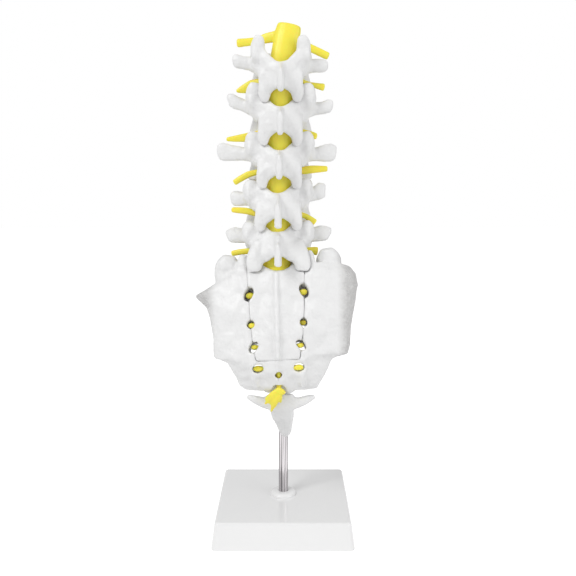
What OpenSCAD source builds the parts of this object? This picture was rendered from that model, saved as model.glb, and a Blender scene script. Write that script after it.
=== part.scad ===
// Lumbar spine teaching model on a rod stand: five lumbar vertebrae, their discs, the sacrum, the
// coccyx and the soft cord with its nerve roots, threaded on one steel rod over a square base.
// Millimetres. The origin is the middle of the base's underside, +Z is up, -Y is the back of the
// spine and +X is the spine's own right side.

/* [Base] */
// Width of the square base across its top face
base_w = 100; // [90:1:120]
// Height of the base
base_h = 20.2; // [18:0.2:30]
// How far each side of the base leans out down to its foot
base_flare = 2.3; // [0:0.1:4]
// Radius of the base's upright corners
base_corner_r = 3.4; // [3:0.2:8]
// Radius of the edge round the top face
base_edge_r = 2; // [1:0.5:2.5]
// Wall thickness of the hollow base
base_wall = 3; // [2:0.5:4]
// Thickness of the cover plate let into the underside
cover_t = 2.4; // [2:0.2:4]

/* [Rod] */
// Diameter of the rod between the base and the sacrum
rod_d = 7.4; // [6.8:0.1:9]
// Diameter of the thin upper part that the bones are threaded on
rod_thin_d = 6; // [5:0.1:6.4]
// Outer diameter of the collar at the rod's foot
collar_d = 19.5; // [16:0.5:30]
// Height of the collar
collar_h = 3.3; // [2:0.1:5]

/* [Vertebrae] */
// Height of a vertebral body
body_h = 25; // [23:0.5:26]
// Half depth of a vertebral body
body_d = 16.5; // [15.5:0.5:17]
// Width of each body across its rims, first to fifth
body_w = [45, 46.5, 48.5, 50.5, 53]; // [40:0.5:56]
// How far the middle of a body draws in
waist = 0.13; // [0:0.01:0.18]
// How thick the laminae are
lamina_t = 3.1; // [2.6:0.1:3.4]

/* [Soft parts] */
// Half width of the cord in the canal
cord_w = 8.6; // [5:0.1:8.6]
// Half depth of the cord in the canal
cord_d = 4.3; // [3:0.1:4.6]
// Height of each disc at its middle, first to fifth
disc_h = [7, 7.5, 8.5, 7.5, 8]; // [5:0.5:10]
// How far each disc bulges past the rims
disc_bulge = 0.6; // [0:0.1:1.2]

/* [Fits] */
// Gap between the rod and its bores, on each side
rod_fit = 0.15; // [0.05:0.05:0.3]
// Gap in the joints between the articular processes
facet_gap = 0.6; // [0.4:0.1:0.9]
// Gap between a disc and the bodies above and below it
disc_fit = 0.05; // [0.02:0.01:0.1]
// Gap round the sacrum's back plate
plate_fit = 0.25; // [0.15:0.05:0.4]

/* [Hidden] */

bone = "whitesmoke";
steel = "silver";
nerve = "khaki";

// The sacrum's top face: its middle, its lean and its width
s1_at = [-4, -5, 191.5];
s1_tilt = -32;
s1_lean = 4;
s1_w = 51;
// Where each body's middle lies, first to fifth, and how it leans: each stands on the disc below
level_x = [-1.2, -1.5, -2.3, -3.2, -3.2];
level_y = [1, 5, 7, 6, 1];
function level_height(k) =
    k == 4 ? s1_at.z + disc_h[4] + body_h / 2 : level_height(k + 1) + disc_h[k] + body_h;
level_z = [for (k = [0 : 4]) level_height(k)];
level_tilt = [10, 5, 0, -7, -17];
level_lean = [0, -0.5, 0, 1, 1];

// Smooth values between stations
function catmull(a, b, c, d, f) =
    b + 0.5 * f * (c - a + f * (2 * a - 5 * b + 4 * c - d + f * (3 * (b - c) + d - a)));
function between(v, t) =
    let (n = len(v) - 1, i = min(floor(t), n - 1))
    catmull(v[max(i - 1, 0)], v[i], v[i + 1], v[min(i + 2, n)], t - i);
function refine(v, steps) = [for (j = [0 : (len(v) - 1) * steps]) between(v, j / steps)];
function unit(v) = v / norm(v);
function middle(ring) = [for (p = ring) 1] * ring / len(ring);
function power(v, e) = sign(v) * pow(abs(v), e);

// A point of one level's own frame in the frame of the whole model
function lean_point(p, tilt, lean) =
    let (y = p.y * cos(tilt) - p.z * sin(tilt), z = p.y * sin(tilt) + p.z * cos(tilt))
    [p.x * cos(lean) - z * sin(lean), y, p.x * sin(lean) + z * cos(lean)];
function level_point(k, p) =
    k < 5
    ? [level_x[k], level_y[k], level_z[k]] + lean_point(p, level_tilt[k], level_lean[k])
    : s1_at + lean_point(p, s1_tilt, s1_lean);

module place(k) {
    translate([level_x[k], level_y[k], level_z[k]])
        rotate([0, -level_lean[k], 0])
            rotate([level_tilt[k], 0, 0])
                children();
}

// A closed skin over a stack of rings
module skin(rings) {
    n = len(rings[0]);
    m = len(rings);
    points = [for (r = rings) each r, middle(rings[0]), middle(rings[m - 1])];
    sides = [for (j = [0 : m - 2], i = [0 : n - 1])
        let (a = j * n + i, b = j * n + (i + 1) % n)
        each [[a, b, b + n], [a, b + n, a + n]]];
    ends = [for (i = [0 : n - 1])
        let (j = (i + 1) % n)
        each [[m * n, j, i], [m * n + 1, (m - 1) * n + i, (m - 1) * n + j]]];
    polyhedron(points, concat(sides, ends));
}

// A limb of bone: stations are [place, half height, half thickness], and up points along the height
module limb(stations, up = [0, 0, 1], steps = 2, n = 8) {
    at = refine([for (s = stations) s[0]], steps);
    tall = refine([for (s = stations) s[1]], steps);
    thin = refine([for (s = stations) s[2]], steps);
    last = len(at) - 1;
    skin([for (j = [0 : last])
        let (
            way = unit(at[min(j + 1, last)] - at[max(j - 1, 0)]),
            high = unit(up - (up * way) * way),
            side = cross(way, high))
        [for (i = [0 : n - 1])
            let (t = 360 * i / n)
            at[j] + high * tall[j] * cos(t) - side * thin[j] * sin(t)]]);
}

module ball(at, r, fn = 8) {
    translate(at) scale(r) sphere(1, $fn = fn);
}

// The kidney outline of a body or a disc, with its hollow side to the canal
function kidney(w, d, n = 22) = [for (i = [0 : n - 1])
    let (
        t = -360 * i / n,
        x = w * power(cos(t), 0.86),
        y = d * power(sin(t), 0.86),
        hollow = y < 0 ? 0.13 * exp(-pow(x / w / 0.45, 2)) : 0)
    [x, y * (1 - hollow)]];

module rod_bore() {
    translate([0, 0, base_h])
        cylinder(d = rod_thin_d + 2 * rod_fit, h = 400, $fn = 48);
}

// One vertebra, in its own frame: level k, first to fifth from the top
body_rim = [for (w = body_w) w / 2];
// How far the superior articular processes stand above the middle of the body
superior_top = [25.5, 24, 21.5, 18.5, 17.5];
// Tips of the transverse processes: reach and rise, left then right, and their half height
tip_left = [[34, 9], [38, 13], [45, 8], [35, 6.5], [39, 12]];
tip_right = [[33, 5], [37.3, 9.3], [41, 7.2], [34.5, 12], [39.4, 12.4]];
tip_tall = [4.9, 4.9, 6.8, 6, 5.4];
// Spinous processes: reach, drop of the tip's middle and half height of the tip
spine_reach = [55, 56, 56.5, 54, 49];
spine_drop = [2, 2.2, 3.4, 9.4, 11.4];
spine_tall = [8.2, 8.4, 8.6, 9, 8.2];

module body_block(k) {
    w = body_rim[k];
    h = body_h / 2;
    shape = [[-1, 0.955], [-0.92, 1], [-0.7, 0.98], [0, 1 - waist], [0.7, 0.98], [0.92, 1], [1, 0.955]];
    skin([for (s = shape) [for (p = kidney(w * s[1], body_d * s[1])) [p.x, p.y, h * s[0]]]]);
}

// How far the lower joints stand further apart than those of the first
joint_spread = [0, 0.3, 0.8, 1.6, 5.6];

module inferior_process(k, side, grow = 0) {
    out = side * joint_spread[k];
    wide = k == 4 ? 1.8 : 0;
    limb([
        [[side * 10.6 + out * 0.4, -27.8, 2], 5.4 + grow, 3.4 + grow],
        [[side * 10.9 + out * 0.8, -29.4, -6.5], 4.8 + wide + grow, 3.5 + grow],
        [[side * 11.4 + out, -29.9, -13.5 - wide * 0.5], 4.8 + wide + grow, 3.3 + grow],
        [[side * 11.2 + out, -29.6, -18.6 - wide * 0.7 - grow], 2.8 + wide + grow, 1.8 + grow]],
        up = [1, 0, 0]);
}

module superior_process(k, side, top) {
    out = side * (k == 0 ? 0 : 2.6 + joint_spread[k - 1]);
    wide = k == 0 ? 0 : 1.2;
    limb([
        [[side * 13.4 + out * 0.2, -20.8, -2], 4.2, 3.8],
        [[side * 15.6 + out, -23.6, top * 0.4], 5.6 + wide, 3.8],
        [[side * 15.4 + out, -25.2, top * 0.8], 5.2 + wide, 3.4],
        [[side * 14.6 + out, -25.8, top], 2.8 + wide, 1.6]],
        up = [1, 0, 0]);
    // The mammillary bump behind the joint
    hull() {
        ball([side * 18 + out, -27, top * 0.5], [2.6, 2.8, 4.4]);
        ball([side * 16 + out, -23, top * 0.3], [3.4, 3, 6]);
    }
}

module transverse_process(k, side, tip) {
    end = [side * tip[0], k == 4 ? -13 : -17.5, tip[1]];
    tall = tip_tall[k];
    root = k == 4 ? [side * 17, -14.5, 8] : [side * 15, -18.5, 4.8];
    mid = (end * 2 + root) / 3;
    limb([
        [root, k == 4 ? 4.8 : k < 2 ? 7 : 5.8, 4],
        [root * 0.66 + end * 0.34, k == 4 ? 5.8 : 5.2, 3.2],
        [mid + [side * 1.5, 0, 0], tall * (k == 4 ? 1.25 : 1.02), 2.6],
        [end - [side * 2.5, 0, 0], tall * (k == 4 ? 0.8 : 1), 2.3],
        [end, tall * (k == 4 ? 0.4 : 0.66), 1.5]]);
}

module lamina(side) {
    hull() {
        ball([side * 11.4, -26, 4.5], [3.2, lamina_t, 5]);
        ball([side * 7.5, -29.2, 2], [3.4, lamina_t, 8]);
        ball([side * 1.5, -31.6, 1], [3, lamina_t, 8.2]);
    }
    // Its upper edge rises to the joint
    limb([
        [[side * 4, -29.6, 5.4], 3.6, 2.8],
        [[side * 9, -27.6, 8.4], 4.4, 3],
        [[side * 13, -25.6, 12.4], 4.4, 3],
        [[side * 16, -24.6, 15], 2.4, 2]]);
    // The lamina spreads down into the joint
    hull() {
        ball([side * 2, -31.8, -3.5], [2.6, 2.6, 5.6]);
        ball([side * 8.6, -30.4, -6.5], [3.2, 2.8, 7]);
        ball([side * 11.6, -28.6, -2.5], [3.2, 2.8, 6]);
    }
}

module spinous_process(k) {
    reach = spine_reach[k];
    drop = spine_drop[k];
    tall = spine_tall[k];
    limb([
        [[0, -29, 0], 8.6, 5],
        [[0, -35, -0.2 * drop], 8.8, 2.9],
        [[0, -0.8 * reach, -0.62 * drop], tall * 0.96, 2],
        [[0, 2.6 - reach, -0.94 * drop], tall, 2.5],
        [[0, -reach, -drop], tall * 0.8, 1.6]]);
    // The thicker lower edge of the spinous process
    hull() {
        ball([0, -32, -7], [3, 2.5, 2.6]);
        ball([0, 2.8 - reach, -drop - tall * 0.78], [k > 2 ? 3.2 : 2.4, 2.2, 2.2]);
    }
}

module canal() {
    limb([
        [[0, -22.4, -32], 11.6, 6],
        [[0, -22.4, 0], 11.2, 5.9],
        [[0, -22.4, 32], 11.6, 6]],
        up = [1, 0, 0], steps = 1, n = 14);
}

module vertebra_form(k) {
    body_block(k);
    difference() {
        union() {
            for (side = [-1, 1]) {
                limb([
                    [[side * 12, -11, 5.2], 6.4, 5],
                    [[side * 13.6, -17, 5.6], 6.6, 4.4],
                    [[side * 14.2, -23, 4.5], 6, 4.2]]);
                superior_process(k, side, superior_top[k]);
                inferior_process(k, side);
                lamina(side);
                transverse_process(k, side, side < 0 ? tip_left[k] : tip_right[k]);
            }
            spinous_process(k);
        }
        canal();
    }
}

module vertebra(k) {
    difference() {
        color(bone)
            difference() {
                place(k) vertebra_form(k);
                if (k > 0)
                    place(k - 1)
                        for (side = [-1, 1]) inferior_process(k - 1, side, facet_gap);
            }
        rod_bore();
        // The flat seat for the washer on the first body
        if (k == 0)
            translate([0, 0, seat_z])
                cylinder(d = 12.6, h = 30, $fn = 48);
    }
}

// One disc, between the body above it (level k) and the body or sacrum below
s1_rim = s1_w / 2;

module disc(k) {
    wa = body_rim[k];
    wb = k < 4 ? body_rim[k + 1] : s1_rim;
    top = -body_h / 2 - disc_fit;
    under = k < 4 ? body_h / 2 + disc_fit : disc_fit;
    above = [for (p = kidney(wa * 0.955, body_d * 0.955)) level_point(k, [p.x, p.y, top])];
    below = [for (p = kidney(wb * 0.955, body_d * 0.955)) level_point(k + 1, [p.x, p.y, under])];
    wide = kidney((wa + wb) / 2 + disc_bulge, body_d + disc_bulge);
    bulge = [for (i = [0 : len(wide) - 1])
        let (
            up = level_point(k, [wide[i].x, wide[i].y, top]),
            down = level_point(k + 1, [wide[i].x, wide[i].y, under]))
        (up + down) / 2];
    color("tan")
        difference() {
            skin([below, below * 0.2 + bulge * 0.8, above * 0.2 + bulge * 0.8, above]);
            rod_bore();
        }
}

// The sacrum: stations down its curve, each [middle y, middle z, lean, half width on the left, front,
// back, front at the edge, back at the edge, half width on the right]
sacrum_line = [
    [-5, 191.5, -32, 36, 16, -30, -3, -25, 55],
    [-8, 186.5, -31, 44, 16.5, -31, -3, -27, 58],
    [-12.5, 179, -29, 59.5, 15, -29.5, -6, -27, 59],
    [-16.5, 171.5, -27, 51, 13.5, -28, -6, -26, 57],
    [-20.5, 164, -25, 48.7, 12.5, -26.5, -6, -24, 55],
    [-26, 152, -20, 46.2, 11, -24, -5, -20, 52.5],
    [-29, 145, -16, 46.4, 10, -22, -4, -17, 52],
    [-30.8, 140, -13, 46.3, 10, -21, -3, -16, 50],
    [-31.8, 137, -11, 36.6, 9.6, -20, -3, -15, 38.6],
    [-34, 128.5, -6, 32, 8.5, -17, -2, -11, 34],
    [-35, 121.4, 0, 29.3, 7, -13, -1, -8, 29.8],
    [-35, 117.8, 3, 25, 5.6, -10.4, -0.5, -6, 28],
    [-34.8, 116.6, 4, 12.4, 5, -9, 0, -5, 12.4],
    [-34.6, 113.9, 5, 10.6, 4, -7.6, 0, -4, 10.6]];
sacrum_x = -4.6;
// How fast the lower end strays to the right, for each millimetre down
apex_drift = 0.055;
// How far to the left and to the right the lobes on the wings stand
lobe_left = 36;
lobe_right = 38.5;

function sacrum_point(s, x, y) =
    let (
        drift = max(0, 146 - s[1]) * apex_drift,
        q = [sacrum_x + x + drift, s[0] + y * cos(s[2]), s[1] + y * sin(s[2])],
        r = [q.x - s1_at.x, q.z - s1_at.z],
        turn = s1_lean * min(1, max(0, (s[1] - 105) / 60)))
    [s1_at.x + r.x * cos(turn) - r.y * sin(turn) * 0.45,
        q.y,
        s1_at.z + r.x * sin(turn) + r.y * cos(turn)];

// Section of the sacrum at one station: the back from left to right, then the front
function edge_close(u) = pow(max(0, 1 - pow(abs(u), 4.5)), 0.5);
function sacrum_ring(s, half = 11) =
    let (
        wide = function(u) u < 0 ? s[3] : s[8],
        us = [for (i = [-half : half]) sin(i * 90 / half) * 0.35 + i / half * 0.65],
        mid = function(u) ((s[4] + s[5]) + ((s[6] + s[7]) - (s[4] + s[5])) * pow(abs(u), 1.7)) / 2,
        deep = function(u) ((s[4] - s[5]) + ((s[6] - s[7]) - (s[4] - s[5])) * pow(abs(u), 1.7)) / 2
            * edge_close(u),
        groove = function(u) 1.8 * exp(-pow((abs(u) * wide(u) - 13) / 6, 2)))
    concat(
        [for (u = us) sacrum_point(s, wide(u) * u, mid(u) - deep(u) + groove(u) * edge_close(u))],
        [for (i = [2 * half - 1 : -1 : 1])
            let (u = us[i])
            sacrum_point(s, wide(u) * u, mid(u) + deep(u))]);

// The dorsal plate: its half width at each station, and how deep it is
plate_half = [20.5, 20, 19.6, 19.2, 18.9, 17.8, 16.4, 15.6, 15];
plate_t = 3.4;

module plate_block(grow = 0) {
    // The plate ends between the lowest foramina
    skin([for (i = [0 : 8])
        let (
            s = between(sacrum_line, min(i, 7.8)),
            w = plate_half[i] + grow,
            inner = s[5] + plate_t + 1.2 + grow,
            outer = s[5] - 12)
        [sacrum_point(s, -w, outer), sacrum_point(s, w, outer),
            sacrum_point(s, w, inner + 1), sacrum_point(s, -w, inner + 1)]]);
}

// The canal through the sacrum: how far in front of the back face its middle lies, its half depth
// and its half width, by station
function canal_half(t) = lookup(t, [[0, 4.25], [8, 3.05], [9, 2.7]]);
function canal_mid(t) = lookup(t, [[0, plate_t + 4.25], [8, plate_t + 3.05], [9, 4.8], [10, 4.7]]);
function canal_wide(t) = lookup(t, [[0, 18.6], [4, 18.2], [6, 17], [8, 15.4], [9, 10.4], [10, 6.4], [13, 4]]);
function canal_ring(i) =
    let (s = sacrum_line[i])
    [for (t = [0 : 36 : 324])
        sacrum_point(s, canal_wide(i) * power(cos(t), 0.7),
            s[5] + canal_mid(i) + canal_half(i) * power(sin(t), 0.7))];
function shifted(ring, by) = [for (p = ring) p + by];

module sacral_canal() {
    last = len(sacrum_line) - 1;
    skin(concat(
        [shifted(canal_ring(0), [0, 1.6, 2.6])],
        [for (i = [0 : last]) canal_ring(i)],
        [shifted(canal_ring(last), [0, 0, -2])]));
}

// The foramina: station, distance from the middle, half width, half height and how far they lean in
foramina = [[2.5, 19.6, 3.4, 6, 18], [4.5, 18.6, 3, 3.6, 10], [5.9, 16.8, 2.9, 4.9, 40],
    [8.5, 14.9, 4, 3.2, 0]];

module sacral_foramina() {
    for (f = foramina, side = [-1, 1]) {
        s = between(sacrum_line, f[0]);
        a = sacrum_point(s, side * f[1], s[5] - 8);
        b = sacrum_point(s, side * (f[1] - 1), s[4] + 12);
        limb([[a, f[3], f[2]], [b, f[3] * 0.9, f[2] * 0.9]],
            up = [-side * sin(f[4]), 0, cos(f[4])], steps = 1, n = 10);
    }
}

// The sacrum's main block, with the crest down the middle of its back
module sacrum_back() {
    skin([for (s = sacrum_line) sacrum_ring(s)]);
    // The crest, sinking into the arch at both ends
    limb([for (i = [1, 3, 5, 7, 9])
        let (s = sacrum_line[i], rise = i == 1 ? 0.4 : i == 9 ? -3 : 1.6)
        [sacrum_point(s, 0, s[5] - rise), 1.7, 2.6]],
        up = [1, 0, 0], steps = 1, n = 6);
    // One low bump on the crest for each fused segment
    for (i = [1, 3, 5])
        let (s = sacrum_line[i], t = sacrum_line[i + 1])
            hull() {
                ball(sacrum_point(s, 0, s[5] - 0.6), [1.9, 2.6, 3]);
                ball(sacrum_point(t, 0, t[5] - 0.4), [1.8, 2.4, 3]);
            }
}

// The whole sacrum before anything is cut from it
module sacrum_form() {
    sacrum_back();
    for (side = [-1, 1]) {
        // The lobe on top of each wing
        lobe = sacrum_point(sacrum_line[0], side < 0 ? -lobe_left : lobe_right, -15);
        limb([
            [sacrum_point(sacrum_line[2], side * 33, -15), 8, 8],
            [lobe + [0, 0, 1], 9.6, 8.4],
            [lobe + [-side * 1.2, -1, 9], 8.8, 7.2],
            [lobe + [-side * 2.2, -1.6, 14.6], 4.6, 4]],
            up = [1, 0, 0], n = 10);
        // The upper corner of the wing
        limb([
            [sacrum_point(sacrum_line[0], side * 26, -16) - [0, 0, 6], 6, 8],
            [sacrum_point(sacrum_line[1], side < 0 ? -36 : 42, -15), side < 0 ? 3 : 7, 8],
            [sacrum_point(sacrum_line[1], side < 0 ? -42 : 51, -16), side < 0 ? 2 : 5.6, 6]]);
        // The shoulder between the lobe and the joint
        limb([
            [sacrum_point(sacrum_line[0], side * 17, -23) - [0, 0, 2], 5, 5],
            [sacrum_point(sacrum_line[0], side * 24, -23) - [0, 0, 2.5], 5.2, 6],
            [sacrum_point(sacrum_line[1], side * 31, -21), 6, 8]]);
        // The processes that meet the fifth vertebra
        limb([
            [sacrum_point(sacrum_line[0], side * 22.6, -24) - [0, 0, 5], 6.2, 5],
            [sacrum_point(sacrum_line[0], side * 23, -24.6), 6, 4.6],
            [sacrum_point(sacrum_line[0], side * 23.4, -25) + [0, 1, 5], 4.8, 4],
            [sacrum_point(sacrum_line[0], side * 23.2, -25) + [0, 1.4, 9.6], 2.8, 2.2]],
            up = [1, 0, 0]);
        // The bony row outside the foramina
        limb([for (i = [1, 3, 5, 7, 9, 10])
            let (s = sacrum_line[i])
            [sacrum_point(s, side * (26.4 - i), s[5] + 3.4), 2.4, 3]],
            up = [1, 0, 0], n = 8);
        for (i = [2, 4, 6, 8])
            let (s = sacrum_line[i], t = sacrum_line[i + 1])
                hull() {
                    ball(sacrum_point(s, side * (25.6 - i), s[5] + 3), [3.4, 3.2, 3.4]);
                    ball(sacrum_point(t, side * (24.4 - i), t[5] + 3.6), [3, 3, 3]);
                }
    }
}

// The open lower end of the sacral canal
hiatus = [-3, -46, 119.6];

// The gap between the arch of the fifth vertebra and the sacrum
module lumbosacral_window() {
    limb([[[-4, -52, 210.4], 12.6, 8.6], [[-4, -27, 210.4], 12.6, 8.6]], up = [1, 0, 0], steps = 1, n = 16);
}

// The round hole over the end of the canal, the slit under it and the open notch below
module sacral_hiatus() {
    s = sacrum_line[9];
    a = sacrum_point(s, 0, s[5] - 6);
    limb([[a, 2.5, 2.5], [a + [0, 11, 0], 2.5, 2.5]], steps = 1, n = 16);
    translate(a + [-0.35, 0, -14])
        cube([0.7, 11, 14]);
    translate([hiatus.x, -38, hiatus.z])
        rotate([90, 0, 0])
            linear_extrude(20)
                polygon([[-3.2, 3], [3.2, 3], [7.6, -8], [-7.6, -8]]);
}

module sacrum() {
    difference() {
        color(bone)
            difference() {
                sacrum_form();
                plate_block(plate_fit);
                sacral_canal();
                sacral_foramina();
                sacral_hiatus();
                lumbosacral_window();
                place(4)
                    for (side = [-1, 1]) inferior_process(4, side, facet_gap);
            }
        rod_bore();
        cylinder(d = rod_d + 2 * rod_fit, h = shoulder_z, $fn = 48);
    }
}

module sacrum_back_plate() {
    color(bone)
        difference() {
            intersection() {
                sacrum_back();
                plate_block();
            }
            sacral_canal();
            sacral_foramina();
            lumbosacral_window();
            place(4)
                for (side = [-1, 1]) inferior_process(4, side, facet_gap);
        }
}

// The coccyx: three fused segments under two side horns
coccyx_line = [
    [[-2, -35.4, 113], 10, 3.2],
    [[-1.8, -35.6, 106.5], 11.8, 3.9],
    [[-0.8, -33.4, 100.5], 9.4, 3.3],
    [[0, -29.6, 94], 8.8, 3.5],
    [[0.8, -25, 87.5], 7, 2.9],
    [[1.4, -20.6, 81.5], 5.6, 2.8],
    [[1.9, -16.8, 76], 4.2, 2.4],
    [[2, -15.4, 73.6], 2, 1.4]];

module coccyx() {
    color(bone) {
        limb(coccyx_line, up = [1, 0, 0], steps = 2, n = 12);
        for (side = [-1, 1])
            limb([
                [[-1.4 + side * 4, -35, 104.6], 5.4, 3.2],
                [[-1.4 + side * 13, -35.4, 106.4], 4.4, 2.8],
                [[-1.4 + side * 20.5, -35.4, 109.4], 3.2, 2.2],
                [[-1.4 + side * 25, -35, 110.8], 1.8, 1.3]],
                steps = 2, n = 8);
    }
}

// A point in the sacral canal, at station t, and how far it lies behind the canal's middle
function sacral_cord_point(t, x, back = 0) =
    let (s = between(sacrum_line, t))
    sacrum_point(s, x, s[5] + canal_mid(t) - back);

// The soft cord, down the canal and out under the sacrum's back plate
cord_wide = [1, 1.01, 1.02, 1.04, 1.08];
cord_line = concat(
    [[[4.7, -16, level_z[0] + 29.3], 0.93, 0.9],
        [[3.9, -16.8, level_z[0] + 25.5], 1.02, 0.98],
        [[2.4, -18.4, level_z[0] + 18.5], 1.02, 1]],
    [for (k = [0 : 4]) [level_point(k, [0, -21.8, 0]), cord_wide[k], 1]],
    [for (c = [[0, 1.2, 0.76], [1, 1, 0.7], [2, 0.78, 0.66], [4, 0.5, 0.58], [6, 0.37, 0.5], [8, 0.29, 0.44],
            [9, 0.24, 0.4], [10, 0.22, 0.38]])
        [sacral_cord_point(c[0], 0), c[1], c[2]]]);

// Nerve roots in pairs, above the first body and below each: from the cord to the free end, with
// [place, half height] for each station, its height taken from the middle of the body
root_t = 1.2;
roots = [
    [0, [[[-1, -16.5, 22.1], 4.5], [[-11, -14.5, 20.9], 3.8], [[-19.4, -12.6, 19.1], 2.9],
        [[-32.1, -12, 17.9], 3.2]]],
    [0, [[[6, -16.5, 18.5], 3.8], [[14, -13.5, 17], 2.8], [[18.8, -12.4, 14.9], 2.9],
        [[32.2, -12, 8.9], 2.8]]],
    [0, [[[-5, -19.4, -4.5], 3], [[-14, -14.6, -9.1], 3.5], [[-22.6, -12.6, -11.9], 5],
        [[-32.8, -12, -14.9], 1]]],
    [0, [[[2, -19.4, -1.5], 2.5], [[12, -15.2, -7.4], 1.5], [[19.3, -12.6, -10.1], 1.6],
        [[29.5, -12, -12.2], 2.8]]],
    [1, [[[-6, -15.4, -8.5], 3], [[-14, -12.6, -11.9], 3.1], [[-25.6, -11.4, -14.9], 3.5],
        [[-40.3, -11, -16.2], 1.4]]],
    [1, [[[2.6, -15.4, -8.5], 3], [[11, -12.6, -11.1], 3.1], [[20.9, -11.6, -13.5], 2.9],
        [[24.4, -11.4, -14.2], 2.2]]],
    [2, [[[-6, -15.4, -3], 2], [[-16, -11.6, -6.4], 1.9], [[-25.1, -11.2, -8.6], 2.5],
        [[-35.3, -11, -14.6], 2.2]]],
    [2, [[[2, -15.4, -2.4], 3.2], [[12, -11.1, -5.7], 3], [[20.3, -11.2, -5], 3.1],
        [[32.1, -11, -4.5], 2.1]]],
    [3, [[[-7, -17.4, -0.5], 2.5], [[-15, -12.4, -3.9], 2.1], [[-26.1, -12.4, -1.3], 2.6],
        [[-37.3, -12, -0.4], 2]]],
    [3, [[[1, -17.4, 0.5], 2], [[10, -14, -3], 2], [[16.8, -12.6, -5.1], 2.1],
        [[23.4, -12, -10], 2.8]]],
    [4, [[[-7, -21, 1], 2], [[-17, -16.8, 0], 2.2], [[-25.5, -14.2, 2.2], 2.4],
        [[-37.6, -12.6, 0.2], 2.2]]],
    [4, [[[1, -21, 1.6], 2], [[10, -16.8, -0.2], 2.2], [[17, -14.6, 2.6], 2.4],
        [[25.4, -13, 2], 3.6]]]];
// Ends of the torn strands below the sacrum
strand_ends = [[-12.4, -43.6, 111.6], [-12.8, -42.4, 107.6], [-8.4, -41.6, 101.6], [-5.6, -41.8, 105.4],
    [-1.6, -42, 108.6], [1.8, -44.4, 116.4]];

module cord_and_roots() {
    color(nerve) {
        limb([for (c = cord_line) [c[0], c[1] * cord_w, c[2] * cord_d]], up = [1, 0, 0], n = 14);
        for (r = roots)
            limb([for (p = r[1]) [p[0] + [0, 0, level_z[r[0]]], p[1], root_t]]);
        for (f = foramina, side = [-1, 1]) {
            t = f[0];
            tall = min(f[2], f[3]) - 1;
            limb([
                [sacral_cord_point(max(0, t - 1.2), 0), 1.6, 1.2],
                [sacral_cord_point(t, side * (f[1] - f[2] - 3)), 1.2, 0.9],
                [sacral_cord_point(t, side * (f[1] - 1), 1.2), tall, 1.5],
                [sacral_cord_point(t, side * (f[1] + 0.6), 1.4), tall, 1.4],
                [sacral_cord_point(t, side * (f[1] + f[2] - 1.3), 1.8), tall * 0.5, 1]],
                steps = 1);
        }
        for (e = strand_ends)
            hull() {
                ball(hiatus, [1.5, 1.1, 1.5]);
                ball((e + hiatus) / 2 - [0, 1.8, 0], [2, 0.9, 2.2]);
                ball(e, [0.8, 0.6, 0.8]);
            }
        hull() {
            ball(hiatus, [1.5, 1.1, 1.5]);
            ball([-7.6, -43.6, 110.4], [3.4, 0.9, 3.6]);
            ball([-3.2, -45, 114], [3.2, 0.9, 3]);
        }
        hull() {
            ball(cord_line[15][0], [1.6, 1.3, 1.6]);
            ball(hiatus, [1.5, 1.1, 1.5]);
        }
    }
}

// Where the rod narrows and carries the sacrum, and where its upper nut sits
shoulder_z = 178;
seat_z = level_z[0] + body_h / 2 - 1.6;
washer_t = 1.2;
nut_h = 5;
nut_w = 10;
rod_end = 1.2;
boss_under = 10.4;
nut_top_z = seat_z + washer_t + nut_h;

module rounded_square(half, r, h) {
    linear_extrude(h)
        hull()
            for (x = [-1, 1], y = [-1, 1])
                translate([x * (half - r), y * (half - r)])
                    circle(r = r, $fn = 32);
}

// The base block: upright corners, leaning sides and a rounded edge round the top
module base_block() {
    top = base_w / 2;
    foot = top + base_flare;
    hull() {
        for (x = [-1, 1], y = [-1, 1]) {
            translate([x * (foot - base_corner_r), y * (foot - base_corner_r), 0])
                cylinder(r = base_corner_r, h = 0.6, $fn = 32);
            translate([x * (top - base_corner_r), y * (top - base_corner_r), base_h - base_edge_r])
                for (a = [0 : 30 : 90])
                    cylinder(r = base_corner_r - base_edge_r * (1 - cos(a)),
                        h = max(0.02, base_edge_r * sin(a)), $fn = 32);
        }
    }
}

screw_at = base_w / 2 - 10;
screw_d = 3;
module each_screw() {
    for (x = [-1, 1], y = [-1, 1])
        translate([x * screw_at, y * screw_at, 0])
            children();
}

module base_shell() {
    inside = base_w / 2 - base_wall;
    under = base_h - base_wall;
    color("white")
        difference() {
            base_block();
            difference() {
                translate([0, 0, -1])
                    rounded_square(inside, 2, under + 1);
                translate([0, 0, boss_under])
                    cylinder(d = 18, h = base_h, $fn = 48);
                each_screw()
                    translate([0, 0, cover_t])
                        cylinder(d = 8, h = base_h, $fn = 32);
                for (a = [0, 90])
                    rotate(a)
                        translate([-inside, -1, boss_under + 1])
                            cube([2 * inside, 2, base_h]);
            }
            each_screw()
                cylinder(d = screw_d, h = 12, $fn = 32);
            cylinder(d = rod_thin_d + 2 * rod_fit, h = 2 * base_h, $fn = 48);
        }
}

module base_cover() {
    color("gainsboro")
        difference() {
            rounded_square(base_w / 2 - base_wall - 0.15, 1.9, cover_t);
            each_screw() {
                translate([0, 0, -0.01])
                    cylinder(d1 = screw_d + 3.1, d2 = screw_d + 0.1, h = 1.6, $fn = 32);
                cylinder(d = screw_d + 0.4, h = 3 * cover_t, center = true, $fn = 32);
            }
        }
}

module base_screws() {
    color(steel)
        each_screw()
            difference() {
                union() {
                    translate([0, 0, 0.05])
                        cylinder(d1 = screw_d + 2.8, d2 = screw_d, h = 1.4, $fn = 32);
                    translate([0, 0, 0.1])
                        cylinder(d = screw_d, h = 10.9, $fn = 32);
                }
                for (a = [0, 90])
                    rotate(a)
                        translate([-1.6, -0.35, 0])
                            cube([3.2, 0.7, 0.8]);
            }
}

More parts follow.
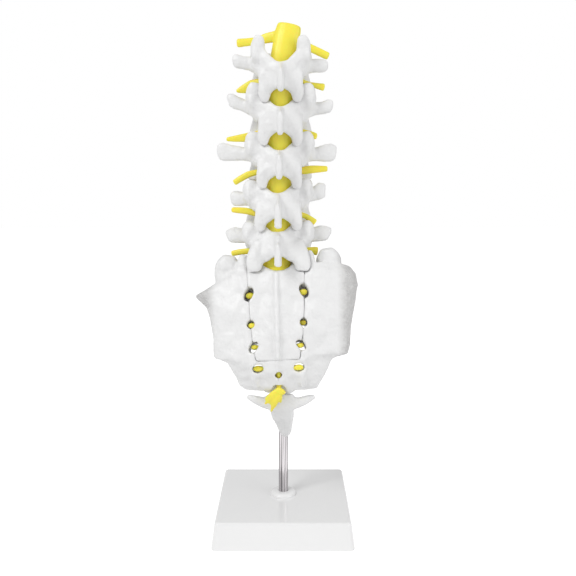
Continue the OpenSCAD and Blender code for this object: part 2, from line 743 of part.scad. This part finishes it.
module rod_collar() {
    color("white")
        translate([0, 0, base_h])
            difference() {
                rotate_extrude($fn = 96)
                    polygon(concat(
                        [[0, 0], [collar_d / 2, 0], [collar_d / 2, collar_h * 0.35]],
                        [for (t = [15 : 15 : 90])
                            [collar_d / 2 - collar_h * 0.65 * 1.5 * (1 - cos(t)),
                                collar_h * (0.35 + 0.65 * sin(t))]],
                        [[0, collar_h]]));
                cylinder(d = rod_d + 2 * rod_fit, h = 3 * collar_h, center = true, $fn = 48);
            }
}

module support_rod() {
    color(steel) {
        translate([0, 0, base_h])
            cylinder(d = rod_d, h = shoulder_z - base_h, $fn = 48);
        translate([0, 0, boss_under - washer_t - nut_h - rod_end])
            cylinder(d = rod_thin_d,
                h = nut_top_z + rod_end - boss_under + washer_t + nut_h + rod_end, $fn = 48);
    }
}

module washer(z) {
    color(steel)
        translate([0, 0, z])
            difference() {
                cylinder(d = 12, h = washer_t, $fn = 48);
                translate([0, 0, -1])
                    cylinder(d = rod_thin_d + 0.4, h = washer_t + 2, $fn = 48);
            }
}

module nut(z) {
    color(steel)
        translate([0, 0, z])
            difference() {
                intersection() {
                    cylinder(d = nut_w / cos(30), h = nut_h, $fn = 6);
                    rotate_extrude($fn = 48)
                        polygon([[0, 0], [nut_w / 2 - 0.3, 0], [nut_w / 2 + 0.75, 0.9],
                            [nut_w / 2 + 0.75, nut_h - 0.9], [nut_w / 2 - 0.3, nut_h], [0, nut_h]]);
                }
                translate([0, 0, -1])
                    cylinder(d = rod_thin_d, h = nut_h + 2, $fn = 48);
            }
}

base_shell();
base_cover();
base_screws();
rod_collar();
support_rod();
washer(boss_under - washer_t);  // rod_foot_washer
nut(boss_under - washer_t - nut_h);  // rod_foot_nut
washer(seat_z);  // rod_top_washer
nut(seat_z + washer_t);  // rod_top_nut
sacrum();
sacrum_back_plate();
coccyx();
vertebra(0);  // vertebra_l1
vertebra(1);  // vertebra_l2
vertebra(2);  // vertebra_l3
vertebra(3);  // vertebra_l4
vertebra(4);  // vertebra_l5
disc(0);  // disc_l1_l2
disc(1);  // disc_l2_l3
disc(2);  // disc_l3_l4
disc(3);  // disc_l4_l5
disc(4);  // disc_l5_s1
cord_and_roots();
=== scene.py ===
from math import pi, radians

import bpy
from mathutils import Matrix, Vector


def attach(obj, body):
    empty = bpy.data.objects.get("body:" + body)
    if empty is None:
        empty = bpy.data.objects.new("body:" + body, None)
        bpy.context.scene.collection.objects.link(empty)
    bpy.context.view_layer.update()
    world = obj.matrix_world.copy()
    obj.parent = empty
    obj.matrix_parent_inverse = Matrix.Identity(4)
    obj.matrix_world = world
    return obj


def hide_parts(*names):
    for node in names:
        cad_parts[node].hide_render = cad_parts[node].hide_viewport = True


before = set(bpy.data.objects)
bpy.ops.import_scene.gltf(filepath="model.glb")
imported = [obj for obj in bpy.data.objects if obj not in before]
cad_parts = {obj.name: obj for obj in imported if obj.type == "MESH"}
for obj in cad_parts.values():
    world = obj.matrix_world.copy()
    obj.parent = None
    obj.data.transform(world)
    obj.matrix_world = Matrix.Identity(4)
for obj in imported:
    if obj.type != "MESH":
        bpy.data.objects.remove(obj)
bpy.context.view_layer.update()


# The base shell
# An upturned tray of white ABS with leaning sides, injection moulded in a polished tool, so it
# shines and picks up the rod. Four screws and a cover plate close it from below.

mm = 0.001


def linear(hex_colour):
    """An sRGB hex colour as the linear RGBA that Blender's sockets take."""
    channels = [int(hex_colour[i:i + 2], 16) / 255 for i in (1, 3, 5)]
    return [c / 12.92 if c <= 0.04045 else ((c + 0.055) / 1.055) ** 2.4 for c in channels] + [1]


def new_material(name, **shader):
    """A material with its Principled shader's own sockets set."""
    material = bpy.data.materials.new(name)
    material.use_nodes = True
    sockets = material.node_tree.nodes["Principled BSDF"].inputs
    for socket, value in shader.items():
        sockets[socket.replace("_", " ")].default_value = value
    return material


def add_node(tree, kind, links=(), **settings):
    """Adds a node to a tree, with its sockets or properties set, and its inputs linked."""
    node = tree.nodes.new(kind)
    for name, value in settings.items():
        if hasattr(node, name):
            setattr(node, name, value)
        else:
            node.inputs[name.replace("_", " ")].default_value = value
    for socket, source in dict(links).items():
        tree.links.new(source, node.inputs[socket])
    return node


def only(*pieces):
    """Selects these pieces and nothing else, and makes the first one active."""
    if bpy.context.object and bpy.context.object.mode != "OBJECT":
        bpy.ops.object.mode_set(mode="OBJECT")
    bpy.ops.object.select_all(action="DESELECT")
    for piece in pieces:
        piece.select_set(True)
    bpy.context.view_layer.objects.active = pieces[0]


def apply_modifier(piece, kind, **settings):
    """Puts one modifier on a piece and applies it."""
    only(piece)
    modifier = piece.modifiers.new(kind.title(), kind)
    for name, value in settings.items():
        setattr(modifier, name, value)
    bpy.ops.object.modifier_apply(modifier=modifier.name)


def take_copy(node, name):
    """A new piece from a copy of a CAD node's mesh, with its loose triangles merged."""
    piece = bpy.data.objects.new(name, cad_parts[node].data.copy())
    bpy.context.scene.collection.objects.link(piece)
    piece.data.materials.clear()
    only(piece)
    bpy.ops.object.mode_set(mode="EDIT")
    bpy.ops.mesh.select_all(action="SELECT")
    bpy.ops.mesh.remove_doubles(threshold=0.002 * mm)
    bpy.ops.mesh.customdata_custom_splitnormals_clear()
    bpy.ops.object.mode_set(mode="OBJECT")
    return piece


def dress(piece, material, slot, *nodes):
    """Gives a new piece its material, and sets it in the place of its CAD nodes."""
    piece.data.materials.append(material)
    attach(piece, "root")
    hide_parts(*nodes)


# Polished ABS: white, a clear gloss, and the faint waviness of a moulded wall
polished_abs = new_material("polished_white_abs", Base_Color=linear("#EDEDED"), Roughness=0.14,
                            IOR=1.53, Coat_Weight=0.25, Coat_Roughness=0.05)
tree = polished_abs.node_tree
coordinates = add_node(tree, "ShaderNodeTexCoord")
sink_marks = add_node(tree, "ShaderNodeTexNoise", {"Vector": coordinates.outputs["Object"]},
                      Scale=1 / (30 * mm), Detail=2)
wall_bump = add_node(tree, "ShaderNodeBump", {"Height": sink_marks.outputs["Fac"]},
                     Strength=0.2, Distance=0.15 * mm)
tree.links.new(wall_bump.outputs["Normal"], tree.nodes["Principled BSDF"].inputs["Normal"])

base_shell = take_copy("base_shell", "base_shell_moulding")
only(base_shell)
bpy.ops.object.shade_smooth_by_angle(angle=radians(34))
apply_modifier(base_shell, "WEIGHTED_NORMAL", keep_sharp=True, weight=100)
dress(base_shell, polished_abs, "base_plastic", "base_shell")


# The cover plate under the base
# A flat plate of ABS let into the shell's underside, spark-eroded to a fine matt grain so that it
# hides wear. It is cut square and countersunk for the four screws.

matt_abs = new_material("matt_white_abs", Base_Color=linear("#D6D6D6"), Roughness=0.6, IOR=1.53)
tree = matt_abs.node_tree
coordinates = add_node(tree, "ShaderNodeTexCoord")
# The real grain is about 0.1 mm, drawn at 0.4 mm so that it shows
grain = add_node(tree, "ShaderNodeTexNoise", {"Vector": coordinates.outputs["Object"]},
                 Scale=1 / (0.4 * mm), Detail=3)
grain_bump = add_node(tree, "ShaderNodeBump", {"Height": grain.outputs["Fac"]},
                      Strength=0.5, Distance=0.05 * mm)
tree.links.new(grain_bump.outputs["Normal"], tree.nodes["Principled BSDF"].inputs["Normal"])
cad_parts["base_cover"].data.materials.clear()
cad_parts["base_cover"].data.materials.append(matt_abs)


# Screws, washers and nuts
# Cold-headed steel with a bright zinc plating: four countersunk screws hold the cover, and a
# washer and nut at each end of the rod clamp the base and the stack of bones.

zinc_plated = new_material("zinc_plated_steel", Base_Color=linear("#B9BBC0"), Metallic=1,
                           Roughness=0.3)
tree = zinc_plated.node_tree
coordinates = add_node(tree, "ShaderNodeTexCoord")
# The plating's mottle is a few tenths of a millimetre across
mottle = add_node(tree, "ShaderNodeTexNoise", {"Vector": coordinates.outputs["Object"]},
                  Scale=1 / (0.8 * mm), Detail=4)
mottle_range = add_node(tree, "ShaderNodeMapRange", {"Value": mottle.outputs["Fac"]},
                        To_Min=0.22, To_Max=0.42)
tree.links.new(mottle_range.outputs["Result"], tree.nodes["Principled BSDF"].inputs["Roughness"])
for node in ("base_screws", "rod_foot_washer", "rod_foot_nut", "rod_top_washer", "rod_top_nut"):
    fastener = take_copy(node, node + "_plated")
    only(fastener)
    bpy.ops.object.shade_smooth_by_angle(angle=radians(30))
    dress(fastener, zinc_plated, "fastener_steel", node)


# The collar at the rod's foot
# A small domed ring of the same white ABS, pushed down the rod to hide the hole in the base.

collar = take_copy("rod_collar", "rod_collar_moulding")
only(collar)
bpy.ops.object.shade_smooth_by_angle(angle=radians(40))
dress(collar, polished_abs, "base_plastic", "rod_collar")


# The support rod
# Drawn steel, centreless ground and chromed, so it mirrors the room; its upright grey streaks are
# painted reflections in its colour. It is turned down above the shoulder that carries the sacrum.

chromed = new_material("chromed_steel_rod", Base_Color=linear("#B9B6B8"), Metallic=1,
                       Roughness=0.12)
tree = chromed.node_tree
coordinates = add_node(tree, "ShaderNodeTexCoord")
# Grinding marks lie 0.3 mm apart across the rod and run far along it; the same noise places the
# painted reflection streaks
along = add_node(tree, "ShaderNodeMapping", {"Vector": coordinates.outputs["Object"]})
along.inputs["Scale"].default_value = (1, 1, 0.01)
grind_marks_and_painted_streaks = add_node(tree, "ShaderNodeTexNoise", {"Vector": along.outputs["Vector"]},
                 Scale=1 / (0.9 * mm), Detail=2)
marks_range = add_node(tree, "ShaderNodeMapRange", {"Value": grind_marks_and_painted_streaks.outputs["Fac"]},
                       To_Min=0.06, To_Max=0.22)
tree.links.new(marks_range.outputs["Result"], tree.nodes["Principled BSDF"].inputs["Roughness"])
# Painted reflection: dark grey lines about 1 mm apart down the whole rod, painted into the
# steel's colour in place of the room's reflected streaks
painted_reflection_lines = add_node(tree, "ShaderNodeMapRange", {"Value": grind_marks_and_painted_streaks.outputs["Fac"]},
                      From_Min=0.4, From_Max=0.56)
steel = add_node(tree, "ShaderNodeMix", {"Factor": painted_reflection_lines.outputs["Result"]},
                 data_type="RGBA")
steel.inputs["A"].default_value = linear("#737072")
steel.inputs["B"].default_value = linear("#D6D2D4")
tree.links.new(steel.outputs["Result"], tree.nodes["Principled BSDF"].inputs["Base Color"])

rod = take_copy("support_rod", "support_rod_chromed")
only(rod)
bpy.ops.object.shade_smooth_by_angle(angle=radians(30))
dress(rod, chromed, "rod_steel", "support_rod")


# The sacrum
# Rigid white PVC, cast in a rubber mould taken from a real bone, so it keeps the bone's soft
# ridges and its rough joint faces at the sides. The rod's shoulder carries it.

# The swells of real bone, 7 mm apart
bone_swells = bpy.data.textures.new("bone_swells", "CLOUDS")
bone_swells.noise_scale = 7 * mm
bone_swells.noise_depth = 3


def fair(piece, voxel, close, soften, swell=0.0):
    """Rounds a cast piece: fills its creases up to twice close across, then softens its edges."""
    apply_modifier(piece, "REMESH", mode="VOXEL", voxel_size=voxel)
    apply_modifier(piece, "DISPLACE", strength=close, mid_level=0)
    apply_modifier(piece, "REMESH", mode="VOXEL", voxel_size=voxel)
    apply_modifier(piece, "SMOOTH", factor=0.5, iterations=soften)
    apply_modifier(piece, "DISPLACE", strength=-close, mid_level=0)
    apply_modifier(piece, "REMESH", mode="VOXEL", voxel_size=voxel)
    apply_modifier(piece, "SMOOTH", factor=0.5, iterations=soften)
    if swell:
        apply_modifier(piece, "DISPLACE", texture=bone_swells, strength=swell, mid_level=0.5)
    only(piece)
    bpy.ops.object.shade_smooth()


# Cast PVC: a warm white with a satin skin, slightly let through by light, with fine pores
cast_pvc = new_material("cast_white_pvc", Base_Color=linear("#E8E8E8"), Roughness=0.42, IOR=1.53,
                        Subsurface_Weight=0.15, Subsurface_Scale=1.5 * mm)
cast_pvc.node_tree.nodes["Principled BSDF"].inputs["Subsurface Radius"].default_value = (1, 1, 1)
tree = cast_pvc.node_tree
coordinates = add_node(tree, "ShaderNodeTexCoord")
# Real bone's fine pores are about 0.3 mm across, drawn at 1 mm so that they show
pores = add_node(tree, "ShaderNodeTexNoise", {"Vector": coordinates.outputs["Object"]},
                 Scale=1 / (1.1 * mm), Detail=3, Roughness=0.6)
swells = add_node(tree, "ShaderNodeTexNoise", {"Vector": coordinates.outputs["Object"]},
                  Scale=1 / (9 * mm), Detail=3)
pore_bump = add_node(tree, "ShaderNodeBump", {"Height": pores.outputs["Fac"]},
                     Strength=0.6, Distance=0.3 * mm)
swell_bump = add_node(tree, "ShaderNodeBump", {"Height": swells.outputs["Fac"],
                                               "Normal": pore_bump.outputs["Normal"]},
                      Strength=0.9, Distance=2 * mm)
tree.links.new(swell_bump.outputs["Normal"], tree.nodes["Principled BSDF"].inputs["Normal"])

# The same plastic with the joint faces for the hips at the wings' edges, rough and a shade darker
joint_pvc = cast_pvc.copy()
joint_pvc.name = "cast_white_pvc_rough_joints"
tree = joint_pvc.node_tree
shader = tree.nodes["Principled BSDF"]
coordinates = add_node(tree, "ShaderNodeTexCoord")
place = add_node(tree, "ShaderNodeSeparateXYZ", {"Vector": coordinates.outputs["Object"]})
across = add_node(tree, "ShaderNodeMath", {0: place.outputs["X"]}, operation="ADD")
across.inputs[1].default_value = 4.6 * mm
outward = add_node(tree, "ShaderNodeMath", {0: across.outputs[0]}, operation="ABSOLUTE")
edge = add_node(tree, "ShaderNodeMapRange", {"Value": outward.outputs[0]},
                From_Min=43 * mm, From_Max=50 * mm)
# Real pits there are about 1.5 mm across
pits = add_node(tree, "ShaderNodeTexNoise", {"Vector": coordinates.outputs["Object"]},
                Scale=1 / (2.5 * mm), Detail=5, Roughness=0.7)
roughened = add_node(tree, "ShaderNodeMath", {0: pits.outputs["Fac"], 1: edge.outputs["Result"]},
                     operation="MULTIPLY")
joint_bump = add_node(tree, "ShaderNodeBump", {"Height": roughened.outputs[0]},
                      Strength=1, Distance=1.6 * mm)
tree.links.new(shader.inputs["Normal"].links[0].from_socket, joint_bump.inputs["Normal"])
tree.links.new(joint_bump.outputs["Normal"], shader.inputs["Normal"])
shade = add_node(tree, "ShaderNodeMix", {"Factor": roughened.outputs[0]}, data_type="RGBA")
shade.inputs["A"].default_value = linear("#E8E8E8")
shade.inputs["B"].default_value = linear("#B4B2B0")
tree.links.new(shade.outputs["Result"], shader.inputs["Base Color"])


def cut_out(piece, tool):
    """Cuts a tool's shape out of a piece, and removes the tool."""
    apply_modifier(piece, "BOOLEAN", operation="DIFFERENCE", object=tool, solver="EXACT")
    bpy.data.objects.remove(tool)


sacrum = take_copy("sacrum", "sacrum_casting")
fair(sacrum, voxel=0.7 * mm, close=0.45 * mm, soften=3, swell=1 * mm)
# The broad swells between the fused segments, 20 mm apart
broad_swells = bpy.data.textures.new("broad_swells", "CLOUDS")
broad_swells.noise_scale = 16 * mm
broad_swells.noise_depth = 1
apply_modifier(sacrum, "DISPLACE", texture=broad_swells, direction="Y", strength=5 * mm,
               mid_level=0.5)
# The slit under the round hole, 0.7 mm wide
bpy.ops.object.select_all(action="DESELECT")
bpy.ops.mesh.primitive_cube_add(size=1)
slit = bpy.context.object
slit.dimensions = (0.7 * mm, 16 * mm, 12 * mm)
slit.location = (-2.89 * mm, -56.87 * mm, 123.44 * mm)
bpy.ops.object.transform_apply(location=True, rotation=True, scale=True)
cut_out(sacrum, slit)
only(sacrum)
bpy.ops.object.shade_smooth()
dress(sacrum, joint_pvc, "bone_plastic", "sacrum")


# The sacrum's back plate
# The roof of the sacral canal, cast apart and glued in over the cord. Its parting line joins the
# holes at the back, and a slim crest runs down its middle.

back_plate = take_copy("sacrum_back_plate", "sacrum_back_plate_casting")
fair(back_plate, voxel=0.6 * mm, close=0.4 * mm, soften=2, swell=0.5 * mm)
apply_modifier(back_plate, "DISPLACE", texture=broad_swells, direction="Y", strength=5 * mm,
               mid_level=0.5)
# The glue fills the parting line nearly up to its edge
apply_modifier(back_plate, "DISPLACE", strength=0.34 * mm, mid_level=0)
# Two air bubbles, left as pits in the casting
for bubble_at in ((3.5, -39.3, 188.1), (8.1, -38.4, 187.9)):
    bpy.ops.object.select_all(action="DESELECT")
    bpy.ops.mesh.primitive_ico_sphere_add(subdivisions=3, radius=0.7 * mm,
                                          location=Vector(bubble_at) * mm)
    bubble = bpy.context.object
    bpy.ops.object.transform_apply(location=True, rotation=True, scale=True)
    cut_out(back_plate, bubble)
only(back_plate)
bpy.ops.object.shade_smooth()
dress(back_plate, cast_pvc, "bone_plastic", "sacrum_back_plate")


# The coccyx
# Three fused segments under two side horns, cast in one piece and glued to the sacrum's tip.

coccyx = take_copy("coccyx", "coccyx_casting")
fair(coccyx, voxel=0.7 * mm, close=1 * mm, soften=8, swell=0.6 * mm)
dress(coccyx, cast_pvc, "bone_plastic", "coccyx")


# The vertebrae
# Five castings in the same white PVC, each with a body, an arch and seven processes. They are
# drilled through their bodies and threaded on the rod.

for level in range(1, 6):
    node = f"vertebra_l{level}"
    vertebra = take_copy(node, node + "_casting")
    fair(vertebra, voxel=0.8 * mm, close=0.8 * mm, soften=5, swell=1 * mm)
    dress(vertebra, cast_pvc, "bone_plastic", node)


# The discs
# Soft PVC in a greyish tan, cast between the bodies. The real ring of fibre shows as fine bands
# that run round the disc.

disc_pvc = new_material("soft_tan_pvc", Base_Color=linear("#BFB2A4"), Roughness=0.5, IOR=1.53,
                        Subsurface_Weight=0.2, Subsurface_Scale=2 * mm)
tree = disc_pvc.node_tree
coordinates = add_node(tree, "ShaderNodeTexCoord")
# Bands of fibre 1 mm apart, wavy along the disc
fibre_rings = add_node(tree, "ShaderNodeTexWave", {"Vector": coordinates.outputs["Object"]},
                       bands_direction="Z", Scale=1 / (20 * mm), Distortion=4, Detail=2)
fibre_bump = add_node(tree, "ShaderNodeBump", {"Height": fibre_rings.outputs["Fac"]},
                      Strength=0.5, Distance=0.3 * mm)
shader = tree.nodes["Principled BSDF"]
tree.links.new(fibre_bump.outputs["Normal"], shader.inputs["Normal"])
# The tan goes from greyish to olive over a few centimetres
blotches = add_node(tree, "ShaderNodeTexNoise", {"Vector": coordinates.outputs["Object"]},
                    Scale=1 / (16 * mm), Detail=2)
tan = add_node(tree, "ShaderNodeMix", {"Factor": blotches.outputs["Fac"]}, data_type="RGBA")
tan.inputs["A"].default_value = linear("#D2C8BE")
tan.inputs["B"].default_value = linear("#BCB393")
# A dark red-brown spot, 2.4 mm across, behind the third disc on the right
dark_red_spot = add_node(tree, "ShaderNodeVectorMath", {0: coordinates.outputs["Object"]},
                operation="DISTANCE")
dark_red_spot.inputs[1].default_value = Vector((18.5, -12.0, 270.3)) * mm
dark_red_spot_edge = add_node(tree, "ShaderNodeMapRange", {"Value": dark_red_spot.outputs["Value"]},
                     From_Min=1 * mm, From_Max=1.4 * mm)
spotted_tan = add_node(tree, "ShaderNodeMix", {"Factor": dark_red_spot_edge.outputs["Result"]},
                   data_type="RGBA")
spotted_tan.inputs["A"].default_value = linear("#7A4A44")
tree.links.new(tan.outputs["Result"], spotted_tan.inputs["B"])
tree.links.new(spotted_tan.outputs["Result"], shader.inputs["Base Color"])
for node in ("disc_l1_l2", "disc_l2_l3", "disc_l3_l4", "disc_l4_l5", "disc_l5_s1"):
    disc = take_copy(node, node + "_casting")
    apply_modifier(disc, "REMESH", mode="VOXEL", voxel_size=0.8 * mm)
    apply_modifier(disc, "SMOOTH", factor=0.5, iterations=4)
    only(disc)
    bpy.ops.object.shade_smooth()
    dress(disc, disc_pvc, "disc_plastic", node)


# The cord and its nerve roots
# One moulding of soft yellow PVC, laid in the canal before the bones are closed up. Its flat
# roots come out at the sides, and its torn end hangs from the sacrum.

nerve_pvc = new_material("soft_yellow_pvc", Base_Color=linear("#F3E64C"), Roughness=0.38, IOR=1.5,
                         Subsurface_Weight=0.25, Subsurface_Scale=2 * mm)
cord = take_copy("cord_and_roots", "cord_and_roots_moulding")
fair(cord, voxel=0.55 * mm, close=0.3 * mm, soften=2)
# The soft plastic swells against the rims of the holes
apply_modifier(cord, "DISPLACE", strength=0.25 * mm, mid_level=0)
dress(cord, nerve_pvc, "nerve_plastic", "cord_and_roots")


# The camera
# It stands straight behind the spine, 547 mm from the rod's axis, and looks 9 degrees down.

camera_at = Vector((3.7, -547.5, 271.4)) * mm
camera_drop = radians(9)
camera = bpy.data.objects.new("camera", bpy.data.cameras.new("camera"))
bpy.context.scene.collection.objects.link(camera)
camera.location = camera_at
camera.rotation_euler = (pi / 2 - camera_drop, 0, 0)
camera.data.sensor_width = 36
camera.data.lens = 45.9
bpy.context.scene.camera = camera


# The floor
# A wide white sheet. It shows white to the camera and in reflections, and keeps the shadow.

bpy.ops.object.select_all(action="DESELECT")
bpy.ops.mesh.primitive_plane_add(size=6)
floor = bpy.context.object
floor.name = "floor"
floor_white = bpy.data.materials.new("white_floor")
floor_white.use_nodes = True
tree = floor_white.node_tree
tree.nodes.remove(tree.nodes["Principled BSDF"])
path = add_node(tree, "ShaderNodeLightPath")
seen = add_node(tree, "ShaderNodeMath", operation="MAXIMUM")
tree.links.new(path.outputs["Is Camera Ray"], seen.inputs[0])
tree.links.new(path.outputs["Is Glossy Ray"], seen.inputs[1])
lift = add_node(tree, "ShaderNodeMath", operation="MULTIPLY")
lift.inputs[1].default_value = 0.55
tree.links.new(seen.outputs[0], lift.inputs[0])
paper = add_node(tree, "ShaderNodeBsdfDiffuse", Color=linear("#EBEBEB"))
glow = add_node(tree, "ShaderNodeEmission", {"Strength": lift.outputs[0]})
both = add_node(tree, "ShaderNodeAddShader")
tree.links.new(paper.outputs[0], both.inputs[0])
tree.links.new(glow.outputs[0], both.inputs[1])
tree.links.new(both.outputs[0], tree.nodes["Material Output"].inputs["Surface"])
floor.data.materials.append(floor_white)


# The lights
# A pale room, with one wide soft lamp above on the left and a weaker one on the right.

def soft_lamp(name, at, size, power):
    """A square lamp that faces the middle of the spine."""
    lamp = bpy.data.objects.new(name, bpy.data.lights.new(name, "AREA"))
    bpy.context.scene.collection.objects.link(lamp)
    lamp.location = at
    lamp.rotation_euler = (Vector((0, 0, 0.22)) - Vector(at)).to_track_quat("-Z", "Y").to_euler()
    lamp.data.size = size
    lamp.data.energy = power


soft_lamp("lamp_left", (-0.9, -1, 1.3), 0.7, 12)
soft_lamp("lamp_right", (1.2, -0.8, 0.5), 0.9, 5)

world = bpy.data.worlds.new("pale_room")
bpy.context.scene.world = world
world.use_nodes = True
tree = world.node_tree
path = add_node(tree, "ShaderNodeLightPath")
room = tree.nodes["Background"]
room.inputs["Color"].default_value = linear("#FFFFFF")
brightness = add_node(tree, "ShaderNodeMapRange", {"Value": path.outputs["Is Camera Ray"]},
                      To_Min=0.62, To_Max=1)
tree.links.new(brightness.outputs["Result"], room.inputs["Strength"])

bpy.context.scene.view_settings.view_transform = "Standard"
